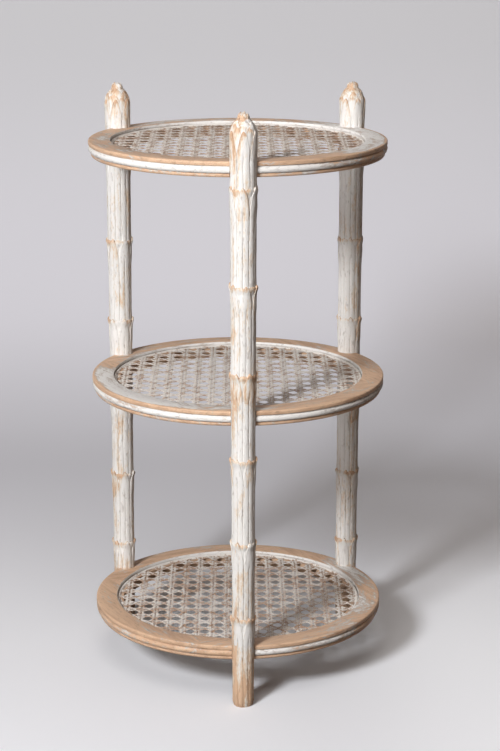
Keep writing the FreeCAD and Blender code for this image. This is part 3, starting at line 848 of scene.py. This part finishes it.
# Rows of bracts on the finial, from outside in; heights are above its neck.
BRACTS = (
    Leaf(0.0330, 0.0680, 0.0260, 0.55, 0.0000, 0.0008, 0.0018, 6, 0.5),
    Leaf(0.0366, 0.0320, 0.0200, 0.55, -0.0004, 0.0012, 0.0015, 6, 0.0),
    Leaf(0.0404, 0.0170, 0.0080, 0.50, -0.0005, 0.0014, 0.0014, 7, 0.2),
    Leaf(0.0438, 0.0130, 0.0060, 0.50, -0.0005, 0.0013, 0.0012, 6, 0.6),
    Leaf(0.0468, 0.0095, 0.0045, 0.50, -0.0004, 0.0011, 0.0011, 7, 0.1),
    Leaf(0.0494, 0.0080, 0.0040, 0.50, -0.0004, 0.0008, 0.0010, 6, 0.4),
    Leaf(0.0512, 0.0070, 0.0035, 0.50, -0.0005, 0.0004, 0.0009, 5, 0.0),
)


def ring_of_leaves(carving, leaf, surface, height, turn, chance):
    """Copies of one leaf all round a post, a little uneven as carved by hand."""
    pitch = 2 * math.pi / leaf.count
    first = carve_leaf(carving, leaf, surface)
    ring = []
    for i in range(leaf.count):
        uneven = math.radians(chance.uniform(-UNEVEN_TURN, UNEVEN_TURN))
        around = Matrix.Rotation(turn + pitch * (i + leaf.shift) + uneven, 4, "Z")
        up = Matrix.Translation((0, 0, height - chance.uniform(0.0, UNEVEN_DROP)))
        slim = chance.uniform(UNEVEN_SHARE, 1.0)
        twin = copy_at(first, up @ around @ Matrix.Diagonal((slim, slim, 1, 1)))
        more = chance.uniform(-UNEVEN_WEAR, UNEVEN_WEAR)
        for point in point_values(twin, "bare").data:
            point.value += more
        ring.append(twin)
    remove(first)
    return ring


def whittle(carving, piece, seed):
    """Let the carving wander and ripple, and fill some grooves more than others.

    Nothing gets wider than the space between a post's axis and the edge of the solids' box.
    """
    hollow = point_values(piece, "hollow")
    reach = post_centre("front").y - CAD_BOX[0][1] - TOUCH
    for vertex in piece.data.vertices:
        x, y, height = vertex.co
        radius = math.hypot(x, y)
        if radius < STILL_RADIUS:
            continue
        turn = math.atan2(x, -y)
        probe = Vector((
            WANDER_ROUND * math.cos(turn), WANDER_ROUND * math.sin(turn), WANDER_ALONG * height + seed))
        drift = smooth_noise.noise(probe)
        swell = smooth_noise.noise(probe * RIPPLE_FINENESS)
        filling = FILLING_MEAN + smooth_noise.noise(probe * FILLING_FINENESS + Vector((5, 5, 5)))
        turn += carving.wander * drift
        depth = carving.groove_depth * hollow.data[vertex.index].value
        radius += carving.ripple * swell + FILLING_DEPTH * max(0.0, filling) * depth
        vertex.co = round_post(min(radius, reach), turn, height)


# Turn of the leaves at each joint and at the finial, in degrees: a gap between two main leaves is this
# far from the front, towards the right.
JOINT_TURNS = {
    "front": (-2, 0, -3, -3, 41, 25, 88),
    "back_right": (14, 20, 9, 31, 24, -6, -7),
    "back_left": (-11, -18, -24, -9, -2, 12, 24),
}


def carve_post(carving, post, chance):
    """A whole post: reeded lengths of shaft, rings of leaves and a finial."""
    joints = joint_heights(carving)
    turns = [math.radians(degrees) for degrees in JOINT_TURNS[post]]
    neck = neck_height(carving)
    starts = [0.0] + [joint - carving.overlap for joint in joints]
    ends = starts[1:] + [neck]
    parts = [carve_shaft(carving, low, high, turn) for low, high, turn in zip(starts, ends, turns)]

    main = Leaf(
        tip=0.0, length=carving.leaf_length, gap=carving.leaf_gap, point=carving.leaf_point,
        lift=carving.leaf_lift, flare=carving.tip_flare, thickness=carving.leaf_thickness,
        count=carving.leaf_pairs, shift=0.5)
    behind = main._replace(
        tip=-carving.second_drop, point=carving.second_point, lift=-carving.second_sink, shift=0.0)
    for joint, turn in zip(joints, turns):
        for leaf in (main, behind):
            parts += ring_of_leaves(
                carving, leaf, lambda rise: shaft_radius(carving, joint + rise), joint, turn, chance)

    bulb = carve_bulb(carving)
    bulb.data.transform(Matrix.Translation((0, 0, neck)))
    parts.append(bulb)
    for bract in BRACTS:
        parts += ring_of_leaves(
            carving, bract, lambda rise: bulb_radius(carving, rise), neck, turns[-1], chance)
    whole = join(parts, "carved_%s_post" % post)
    whittle(carving, whole, chance.uniform(0, 50))
    whole.data.transform(Matrix.Translation(post_centre(post)))
    smooth(whole, degrees=50.0)
    return whole


class TABLE_OT_carve_posts(bpy.types.Operator):
    """Carve the three posts with their leaf joints and finials"""

    bl_idname = "table.carve_posts"
    bl_label = "Carve posts"

    def execute(self, context):
        settings = context.scene.tier_table
        material = worn_paint("worn_post_paint", settings.finish, settings.finish.thin_on_post)
        for number, post in enumerate(POSTS):
            chance = random.Random(POST_SEED + number)
            piece = carve_post(settings.carving, post, chance)
            for name in ("grain", "brush"):
                mark_along(piece, name, lambda place: (place.z, place.x, place.y), POST_FIGURE * number)
            finish_piece(piece, post + "_post", material)
        return {"FINISHED"}


# ---------------------------------------------------------------- moulded rims

# Steps that an arc of a rim is spun in, and sides of the cutter of a notch.
RIM_STEPS = 48
NOTCH_SIDES = 64
# What sets the figure of each shelf's wood, and of each arc of its rim, apart.
SHELF_FIGURE = 0.53
ARC_FIGURE = 0.17


def rim_section(rim):
    """Section of a rim as (radius, height above its underside)."""
    outer = SHELF_R - rim.skin
    top = RIM_THICKNESS
    quirk_top = top - rim.slab_edge
    ovolo_top = quirk_top - rim.quirk_height
    ovolo_z = ovolo_top - rim.ovolo_height / 2
    swing = math.degrees(math.asin(rim.ovolo_height / 2 / rim.ovolo_radius))
    ovolo_x = outer - rim.ovolo_inset - rim.ovolo_radius * math.cos(math.radians(swing))
    bead_x = outer - rim.bead_inset - rim.bead_radius
    bead_z = rim.bead_height * rim.bead_radius
    bead_sweep = math.degrees(rim.bead_sweep)
    inner = OPENING_R - rim.seat
    ledge = top - CANE_DROP - rim.seat_drop
    reed_top = top - REED_DROP
    return (
        [(inner, 0.0)]
        + arc_points((bead_x, bead_z), rim.bead_radius, -bead_sweep, bead_sweep, steps=8)
        + arc_points((ovolo_x, ovolo_z), rim.ovolo_radius, -swing, swing, steps=10)
        + [(outer - rim.quirk_depth, ovolo_top), (outer - rim.quirk_depth, quirk_top)]
        + arc_points((outer - rim.arris, quirk_top + rim.arris), rim.arris, -90, 0, steps=2)
        + arc_points((outer - rim.slab_round, top - rim.slab_round), rim.slab_round, 0, 90, steps=5)
        + [(outer - rim.slab_round - rim.worn_edge, top)]
        + arc_points((OPENING_R + rim.arris, top - rim.arris), rim.arris, 90, 180, steps=2)
        # Two points on the wall bound the band of painted shadow over the reed.
        + [(OPENING_R, reed_top + 2 * rim.gap_shadow_height), (OPENING_R, reed_top + rim.gap_shadow_height)]
        + [(OPENING_R, ledge), (inner, ledge)]
    )


def cut_notch(piece, post, radius):
    """Cut the upright notch that a post stands in."""
    deselect_all()
    bpy.ops.mesh.primitive_cylinder_add(
        vertices=NOTCH_SIDES, radius=radius, depth=4 * RIM_THICKNESS)
    cutter = bpy.context.object
    middle = (piece.bound_box[0][2] + piece.bound_box[1][2]) / 2
    cutter.data.transform(Matrix.Translation(post_centre(post) + Vector((0, 0, middle))))
    apply_modifier(piece, "BOOLEAN", operation="DIFFERENCE", object=cutter, solver="EXACT")
    remove(cutter)


# How far the paint is worn off the flat top and off the mouldings of each shelf's rim.
RIM_WEAR = {"bottom": (0.92, 0.72), "middle": (0.84, 0.16), "top": (0.62, 0.12)}
# Stretches of a rim that were worn more or less than that: the direction of the middle and half the
# width, in degrees from the right-hand side towards the back, and what they add on the flat and on the
# mouldings.
RUBS = {
    "bottom": ((0, 40, -0.40, 0.10), (-62, 20, 0.0, -0.45)),
    "middle": ((203, 34, -0.56, 0.0), (246, 30, -0.42, 0.0), (15, 40, 0.0, 0.35)),
    "top": ((8, 44, -0.40, 0.0), (-10, 40, 0.0, 0.62), (-92, 44, 0.30, 0.0)),
}


def wear_in_direction(shelf, degrees):
    """Bareness of the flat and of the mouldings of a rim in a direction."""
    flat, moulded = RIM_WEAR[shelf]
    for middle, half, on_flat, on_moulding in RUBS[shelf]:
        off = abs((degrees - middle + 180) % 360 - 180)
        near = smoothstep(1.35 * half, 0.65 * half, off)
        flat += on_flat * near
        moulded += on_moulding * near
    return flat, moulded


def rim_wear(rim, shelf, place):
    """Bareness and hollowness of a rim at a place.

    In order: the ledge under the cane, the wall over the reed, the groove under the slab, the bead, the
    round moulding, the slab's edge and the flat top.
    """
    x, y = from_axis(place)
    radius = math.hypot(x, y)
    under_top = SHELF_TOP[shelf] - place.z
    flat, moulded = wear_in_direction(shelf, math.degrees(math.atan2(y, x)))
    quirk_low = rim.slab_edge + rim.quirk_height
    in_quirk = rim.slab_edge - TOUCH < under_top < quirk_low + TOUCH
    # The ledge and the wall under the cane are bare wood darkened by painted shade.
    if radius < OPENING_R - rim.seat / 2:
        return rim.ledge_bare, rim.ledge_shade
    if radius < OPENING_R + 2 * TOUCH:
        # The wall carries a painted shadow line just over the reed.
        in_gap = under_top > REED_DROP - 1.5 * rim.gap_shadow_height
        return rim.wall_bare, rim.gap_shadow if in_gap else 0.0
    # The groove under the slab gets painted shade and dark wax.
    if in_quirk and radius < SHELF_R - rim.quirk_depth + TOUCH:
        return moulded, rim.quirk_wax_and_shade
    if under_top > quirk_low + rim.ovolo_height:
        return moulded + rim.bead_bare, 0.0
    if under_top > quirk_low - TOUCH:
        return moulded, 0.0
    if radius > SHELF_R - rim.slab_round - TOUCH:
        return rim.slab_bare, 0.0
    return flat, 0.0


def along_board(place, middle):
    """A place as its distance along the straight board that an arc was sawn from, across it and up."""
    x, y = from_axis(place)
    along = y * math.cos(middle) - x * math.sin(middle)
    across = x * math.cos(middle) + y * math.sin(middle)
    return (along, across, place.z)


def along_arc(place, start):
    """A place as its distance along an arc from a little before its start, across it and up."""
    x, y = from_axis(place)
    turn = (math.atan2(y, x) - start + 0.1) % (2 * math.pi)
    return (SHELF_R * turn, math.hypot(x, y), place.z)


class TABLE_OT_mould_rims(bpy.types.Operator):
    """Spin the four moulded arcs of each rim and notch them for the posts"""

    bl_idname = "table.mould_rims"
    bl_label = "Mould rims"

    def execute(self, context):
        settings = context.scene.tier_table
        rim = settings.rim
        material = worn_paint("worn_rim_paint", settings.finish, settings.finish.thin_on_rim)
        section = rim_section(rim)
        quarter = math.pi / 2
        for storey, shelf in enumerate(SHELVES):
            centre = on_axis(SHELF_TOP[shelf] - RIM_THICKNESS)
            for number, arc in enumerate(ARCS):
                start = number * quarter - rim.first_joint
                piece = spin_section(section, start, quarter, RIM_STEPS, centre)
                piece.name = "moulded_%s_rim_%s" % (shelf, arc)
                if arc in NOTCHES:
                    radius = shaft_radius(settings.carving, SHELF_TOP[shelf]) + rim.post_fit
                    cut_notch(piece, NOTCHES[arc], radius)
                mark_wear(piece, lambda place: rim_wear(rim, shelf, place))
                middle = start + quarter / 2
                figure = SHELF_FIGURE * storey + ARC_FIGURE * number
                mark_along(piece, "grain", lambda place: along_board(place, middle), figure)
                mark_along(piece, "brush", lambda place: along_arc(place, start), figure)
                smooth(piece, degrees=32.0)
                finish_piece(piece, "%s_rim_%s" % (shelf, arc), material)
        return {"FINISHED"}


# ---------------------------------------------------------------- woven cane and reed

# Section of a strand: corners across and up, as shares of half its width and thickness, and how much
# barer a corner is than the top, which also sets the painted shade on the sides and underside.
STRAND_CORNERS = (
    (-1.0, -0.3, 0.45),
    (-0.6, 1.0, 0.0),
    (0.6, 1.0, 0.0),
    (1.0, -0.3, 0.45),
    (0.0, -1.0, 0.6),
)
# How a strand passes a pair that it crosses: distances along it, in half spacings of that pair, and its
# rise there if it is the right-hand or the back one of its own pair; the other one does the opposite.
PAIR_STEPS = ((-2.4, 0), (-1, 1), (1, -1), (2.4, 0))
# How a slanting strand passes a crossing: distances along it, in half steps, and shares of its rise.
SLANT_STEPS = ((-0.34, 0.5), (-0.16, 1.0), (0.16, 1.0), (0.34, 0.5))
# Steps that a reed is spun in.
REED_STEPS = 128
# What sets the random draws of the panels apart, and how unevenly their strands are worn.
CANE_SEED = 31
STRAND_WEAR = 0.08


def lay_strand(mesh, path, sideways, cane, bare):
    """Add a flat strand along a path of places; sideways is the direction of its width."""
    across = sideways * (cane.strand_width / 2)
    up = Vector((0, 0, cane.strand_thickness / 2))
    bareness = mesh.verts.layers.float["bare"]
    hollow = mesh.verts.layers.float["hollow"]
    rings = []
    for place in path:
        ring = []
        for out, rise, worn in STRAND_CORNERS:
            corner = mesh.verts.new(place + across * out + up * rise)
            corner[bareness] = bare + worn
            # The sides and underside are darkened by painted shade.
            corner[hollow] = cane.strand_side_shade * worn
            ring.append(corner)
        rings.append(ring)
    for near, far in zip(rings, rings[1:]):
        for i in range(len(near)):
            after = (i + 1) % len(near)
            mesh.faces.new((near[i], near[after], far[after], far[i]))
    mesh.faces.new(reversed(rings[0]))
    mesh.faces.new(rings[-1])


def crossings(start, step, reach):
    """Distances from the middle at which the pairs of one direction lie."""
    count = math.ceil(reach / step) + 1
    return [start + i * step for i in range(-count, count + 1)]


def woven_path(points, edge_r):
    """The stretch of a path that lies inside the reed, cut to length at both ends."""
    inside = [point for point in points if math.hypot(point.x, point.y) < edge_r]
    if len(inside) < 2:
        return []
    first = points.index(inside[0])
    last = points.index(inside[-1])
    path = list(inside)
    if first > 0:
        path.insert(0, end_on_edge(inside[0], points[first - 1], edge_r))
    if last < len(points) - 1:
        path.append(end_on_edge(inside[-1], points[last + 1], edge_r))
    return path


def end_on_edge(inner, outer, edge_r):
    """The place between two points that lies on the edge circle, found by halving the stretch."""
    low, high = 0.0, 1.0
    for _ in range(20):
        middle = (low + high) / 2
        place = inner.lerp(outer, middle)
        if math.hypot(place.x, place.y) < edge_r:
            low = middle
        else:
            high = middle
    return inner.lerp(outer, low)


def straight_strands(cane, reach):
    """Paths of the paired strands, which rise and dip in turn at the pairs that they cross."""
    columns = crossings(cane.shift_across + cane.pitch_across / 2, cane.pitch_across, reach)
    rows = crossings(cane.shift_deep + cane.pitch_deep / 2, cane.pitch_deep, reach)
    x_axis, y_axis = Vector((1, 0, 0)), Vector((0, 1, 0))
    strands = []
    directions = (
        (columns, cane.pair_across, x_axis, rows, cane.pair_deep, y_axis),
        (rows, cane.pair_deep, y_axis, columns, cane.pair_across, x_axis),
    )
    for pairs, spacing, sideways, crossed, crossed_spacing, along in directions:
        for pair in pairs:
            for side in (-1, 1):
                line = sideways * (pair + side * spacing)
                points = []
                for crossing in crossed:
                    for step, lift in PAIR_STEPS:
                        place = line + along * (crossing + step * crossed_spacing)
                        place.z = side * lift * cane.weave_height
                        points.append(place)
                strands.append((points, sideways))
    return strands


def slanting_strands(cane, reach):
    """Paths of the slanting strands, which cross on the pairs, midway between the pairs' crossings."""
    strands = []
    x0 = cane.shift_across + cane.pitch_across / 2
    y0 = cane.shift_deep
    count = math.ceil(2 * reach / min(cane.pitch_across, cane.pitch_deep)) + 1
    for lean in (1, -1):
        half_step = Vector((cane.pitch_across / 2, lean * cane.pitch_deep / 2, 0))
        along = half_step.normalized()
        sideways = Vector((-along.y, along.x, 0))
        for line in range(-count, count + 1):
            start = Vector((x0 + line * cane.pitch_across, y0, 0))
            points = []
            for i in range(-2 * count, 2 * count + 1):
                over = lean if i % 2 == 0 else -lean
                lift = Vector((0, 0, 2 * over * cane.weave_height))
                for offset, part in SLANT_STEPS:
                    points.append(start + half_step * (i + offset) + lift * part)
            strands.append((points, sideways))
    return strands


# How far the whitewash is worn off the cane of each shelf.
CANE_WEAR = {"bottom": 0.42, "middle": 0.30, "top": 0.40}


def weave_panel(cane, shelf, chance):
    """A whole panel of cane."""
    mesh = bmesh.new()
    for name in ("bare", "hollow"):
        mesh.verts.layers.float.new(name)
    edge_r = OPENING_R - cane.reed_width + cane.edge_cover
    reach = edge_r + cane.pitch_deep
    for points, sideways in straight_strands(cane, reach) + slanting_strands(cane, reach):
        path = woven_path(points, edge_r)
        if path:
            bare = CANE_WEAR[shelf] + chance.uniform(-STRAND_WEAR, STRAND_WEAR)
            lay_strand(mesh, path, sideways, cane, bare)
    data = bpy.data.meshes.new("woven_%s_cane" % shelf)
    mesh.to_mesh(data)
    mesh.free()
    piece = bpy.data.objects.new(data.name, data)
    bpy.context.scene.collection.objects.link(piece)
    middle = SHELF_TOP[shelf] - CANE_DROP - 2 * cane.weave_height - cane.strand_thickness / 2
    data.transform(Matrix.Translation(on_axis(middle)) @ Matrix.Rotation(cane.turn, 4, "Z"))
    tidy_mesh(piece)
    smooth(piece, degrees=40.0)
    return piece


class TABLE_OT_weave_cane(bpy.types.Operator):
    """Weave the open cane panels, strand by strand"""

    bl_idname = "table.weave_cane"
    bl_label = "Weave cane"

    def execute(self, context):
        settings = context.scene.tier_table
        material = washed_cane(settings.finish)
        for number, shelf in enumerate(SHELVES):
            piece = weave_panel(settings.cane, shelf, random.Random(CANE_SEED + number))
            finish_piece(piece, shelf + "_cane_panel", material)
        return {"FINISHED"}


def reed_wear(cane, place, outer):
    """Bareness of a reed, and hollowness that paints a shadow where it meets the rim."""
    radius = math.hypot(*from_axis(place))
    near_rim = smoothstep(outer - cane.shadow_width, outer - cane.shadow_core, radius)
    return cane.reed_bare, cane.reed_gap_shadow * near_rim


class TABLE_OT_lay_reeds(bpy.types.Operator):
    """Spin the round-topped reeds that hold the cane"""

    bl_idname = "table.lay_reeds"
    bl_label = "Lay reeds"

    def execute(self, context):
        settings = context.scene.tier_table
        cane = settings.cane
        material = washed_cane(settings.finish)
        half = cane.reed_width / 2
        outer = OPENING_R - TOUCH
        middle = outer - half
        centre = on_axis(0.0)
        for shelf in SHELVES:
            low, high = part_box(shelf + "_cane_reed")
            crown = arc_points((middle, high.z - half), half, 180, 0, steps=8)
            section = [(middle - half, low.z)] + crown + [(middle + half, low.z)]
            piece = spin_section(section, math.pi / 2, 2 * math.pi, REED_STEPS, centre)
            piece.name = "%s_reed_ring" % shelf
            mark_wear(piece, lambda place: reed_wear(cane, place, outer))
            smooth(piece, degrees=40.0)
            finish_piece(piece, shelf + "_cane_reed", material)
        return {"FINISHED"}


class TABLE_OT_finish_fittings(bpy.types.Operator):
    """Give the plugs, dowels and screws their wood and metal"""

    bl_idname = "table.finish_fittings"
    bl_label = "Finish fittings"

    def execute(self, context):
        finish = context.scene.tier_table.finish
        beech = bare_beech(finish)
        zinc = zinc_steel(finish)
        kinds = (("_screws", zinc), ("_plugs", beech), ("_dowels", beech))
        for name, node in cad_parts.items():
            for ending, material in kinds:
                if name.endswith(ending):
                    node.data.materials.clear()
                    node.data.materials.append(material)
        return {"FINISHED"}


# ---------------------------------------------------------------- stage

# Points across and along the paper.
PAPER_GRID = (2, 90)
# Between which distances the paper's painted shade and painted light change: the bend's darker colour,
# the far glow and the end of the side glow behind the table, the wall's colour and the high wall's
# darker colour over the floor, and the shade and the side glow to the right.
BEND_BEHIND = (0.0, 0.9)
GLOW_BEHIND = (-0.4, 0.9)
SIDE_BEHIND = (0.6, -0.1)
WALL_ABOVE = (0.0, 0.16)
HIGH_ABOVE = (0.15, 0.75)
SHADE_ACROSS = (1.0, -1.0)
SIDE_ACROSS = (0.06, 0.32)
# The most that the shade covers of the paper's own colour.
SHADE_MOST = 0.25

Lamp = collections.namedtuple("Lamp", "name place width watts tint")

# The lamps are round and face the middle of the table.
LAMPS = (
    Lamp("key_lamp", (-1.20, -1.96, 1.58), 0.50, 57.0, (0.985, 0.99, 1.0)),
    Lamp("fill_lamp", (-2.0, -4.2, 2.4), 2.5, 46.0, (1.0, 0.96, 0.92)),
    Lamp("top_lamp", (-0.2, -2.0, 3.6), 2.0, 25.0, (1.0, 0.97, 0.93)),
)


def seen_directly(tree):
    """1 for what the camera, a shiny surface or glass sees, 0 for the light that is thrown back."""
    light_path = tree.nodes.new("ShaderNodeLightPath").outputs
    seen = calculate(tree, "MAXIMUM", light_path["Is Camera Ray"], light_path["Is Glossy Ray"])
    return calculate(tree, "MAXIMUM", seen, light_path["Is Transmission Ray"])


def stage_material(stage):
    """Pale floor that turns into the backdrop, with painted shade at the bend, high up and on the left,
    and painted light glowing far back and on the right; it is clear from behind.
    """
    material, tree, shader = new_material("studio_paper")
    split = tree.nodes.new("ShaderNodeSeparateXYZ")
    feed(tree, split.inputs["Vector"], object_place(tree))
    across, behind, above = (split.outputs[axis] for axis in "XYZ")

    back = ramp(tree, behind, *BEND_BEHIND)
    paper = blend(tree, back, stage.floor, stage.bend)
    paper = blend(tree, ramp(tree, above, *WALL_ABOVE), paper, stage.wall)
    paper = blend(tree, ramp(tree, above, *HIGH_ABOVE), paper, stage.high)
    shaded = ramp(tree, across, *SHADE_ACROSS, 0.0, SHADE_MOST)
    paper = blend(tree, calculate(tree, "MULTIPLY", shaded, back), paper, stage.shade)

    far_glow = ramp(tree, behind, *GLOW_BEHIND, 0.0, stage.floor_glow)
    side_glow = ramp(tree, across, *SIDE_ACROSS, 0.0, stage.side_glow)
    side_glow = calculate(tree, "MULTIPLY", side_glow, ramp(tree, behind, *SIDE_BEHIND))
    glow = calculate(tree, "ADD", far_glow, side_glow)

    seen = seen_directly(tree)
    feed_all(tree, shader, {
        "Base Color": blend(tree, seen, stage.unseen, paper),
        "Emission Color": (1.0, 1.0, 1.0),
        "Emission Strength": calculate(tree, "MULTIPLY", glow, seen),
        "Roughness": 0.9,
        "Specular IOR Level": 0.1,
    })
    from_behind = add_node(tree, "ShaderNodeNewGeometry", "Backfacing", {})
    clear = add_node(tree, "ShaderNodeBsdfTransparent", "BSDF", {})
    surface = {0: from_behind, 1: shader.outputs["BSDF"], 2: clear}
    both_sides = add_node(tree, "ShaderNodeMixShader", "Shader", surface)
    feed(tree, tree.nodes["Material Output"].inputs["Surface"], both_sides)
    return material


def paper_profile(stage, run):
    """Distance behind the table and height of the paper, at a distance along it."""
    radius = stage.bend_radius
    bent = run - stage.wall_distance
    if bent < 0:
        return run, 0.0
    if bent < radius * math.pi / 2:
        turn = bent / radius
        return stage.wall_distance + radius * math.sin(turn), radius * (1 - math.cos(turn))
    return stage.wall_distance + radius, radius + bent - radius * math.pi / 2


def add_backdrop(stage):
    """A floor that curves up into a backdrop."""
    def place(u, v):
        run = (v + 1) / 2 * stage.paper_length - stage.floor_reach
        behind, height = paper_profile(stage, run)
        return Vector((u * stage.floor_reach, behind, height)), 0.0, 0.0

    floor = carve_blank(*PAPER_GRID, place)
    floor.name = "studio_floor"
    floor.data.materials.append(stage_material(stage))
    smooth(floor)


def studio_air(stage):
    """A world that gives a little warm light and is seen as pale grey beyond the paper."""
    world = bpy.data.worlds.new("studio_air")
    world.use_nodes = True
    tree = world.node_tree
    seen = seen_directly(tree)
    feed_all(tree, tree.nodes["Background"], {
        "Color": blend(tree, seen, stage.air, stage.beyond),
        "Strength": ramp(tree, seen, 0.0, 1.0, stage.air_strength, 1.0),
    })
    return world


def add_lamp(lamp):
    """Add one of the lamps."""
    deselect_all()
    bpy.ops.object.light_add(type="AREA", location=lamp.place)
    light = bpy.context.object
    light.name = lamp.name
    light.data.shape = "DISK"
    light.data.size = lamp.width
    light.data.energy = lamp.watts
    light.data.color = lamp.tint
    facing = Vector((0, 0, TIP_Z / 2)) - Vector(lamp.place)
    light.rotation_euler = facing.to_track_quat("-Z", "Y").to_euler()


def add_camera(stage):
    """Add the camera and look through it."""
    deselect_all()
    place = (stage.camera_x, AXIS.y + stage.camera_y, stage.camera_z)
    bpy.ops.object.camera_add(location=place)
    camera = bpy.context.object
    camera.name = "table_camera"
    camera.rotation_euler = (math.pi / 2 - stage.camera_tilt, 0.0, -stage.camera_turn)
    camera.rotation_euler.rotate_axis("Z", stage.camera_roll)
    camera.data.sensor_fit = "VERTICAL"
    camera.data.sensor_height = stage.sensor
    camera.data.lens = stage.lens
    bpy.context.scene.camera = camera


class TABLE_OT_set_stage(bpy.types.Operator):
    """Set the floor, the lamps, the world and the camera"""

    bl_idname = "table.set_stage"
    bl_label = "Set stage"

    def execute(self, context):
        stage = context.scene.tier_table.stage
        add_backdrop(stage)
        for lamp in LAMPS:
            add_lamp(lamp)
        context.scene.world = studio_air(stage)
        context.scene.view_settings.view_transform = "Standard"
        add_camera(stage)
        return {"FINISHED"}


# ---------------------------------------------------------------- add-on

class VIEW3D_PT_tier_table(bpy.types.Panel):
    """Sidebar panel of the tier table"""

    bl_label = "Tier Table"
    bl_space_type = "VIEW_3D"
    bl_region_type = "UI"
    bl_category = "Tier Table"

    def draw(self, context):
        settings = context.scene.tier_table
        for name in ("carving", "rim", "cane", "finish", "stage"):
            group = getattr(settings, name)
            box = self.layout.box()
            box.label(text=name.title())
            for size in group.bl_rna.properties.keys():
                if size not in ("rna_type", "name"):
                    box.prop(group, size)
        for operator in OPERATORS:
            self.layout.operator(operator.bl_idname)


OPERATORS = (
    TABLE_OT_carve_posts,
    TABLE_OT_mould_rims,
    TABLE_OT_weave_cane,
    TABLE_OT_lay_reeds,
    TABLE_OT_finish_fittings,
    TABLE_OT_set_stage,
)
CLASSES = (
    CarvingSizes,
    RimSizes,
    CaneSizes,
    Finishes,
    StageSizes,
    TableSettings,
    *OPERATORS,
    VIEW3D_PT_tier_table,
)


def register():
    for item in CLASSES:
        bpy.utils.register_class(item)
    bpy.types.Scene.tier_table = PointerProperty(type=TableSettings)


def unregister():
    del bpy.types.Scene.tier_table
    for item in reversed(CLASSES):
        bpy.utils.unregister_class(item)


def main():
    register()
    for operator in OPERATORS:
        group, name = operator.bl_idname.split(".")
        getattr(getattr(bpy.ops, group), name)()
    deselect_all()
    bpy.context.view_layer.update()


if __name__ == "__main__":
    main()
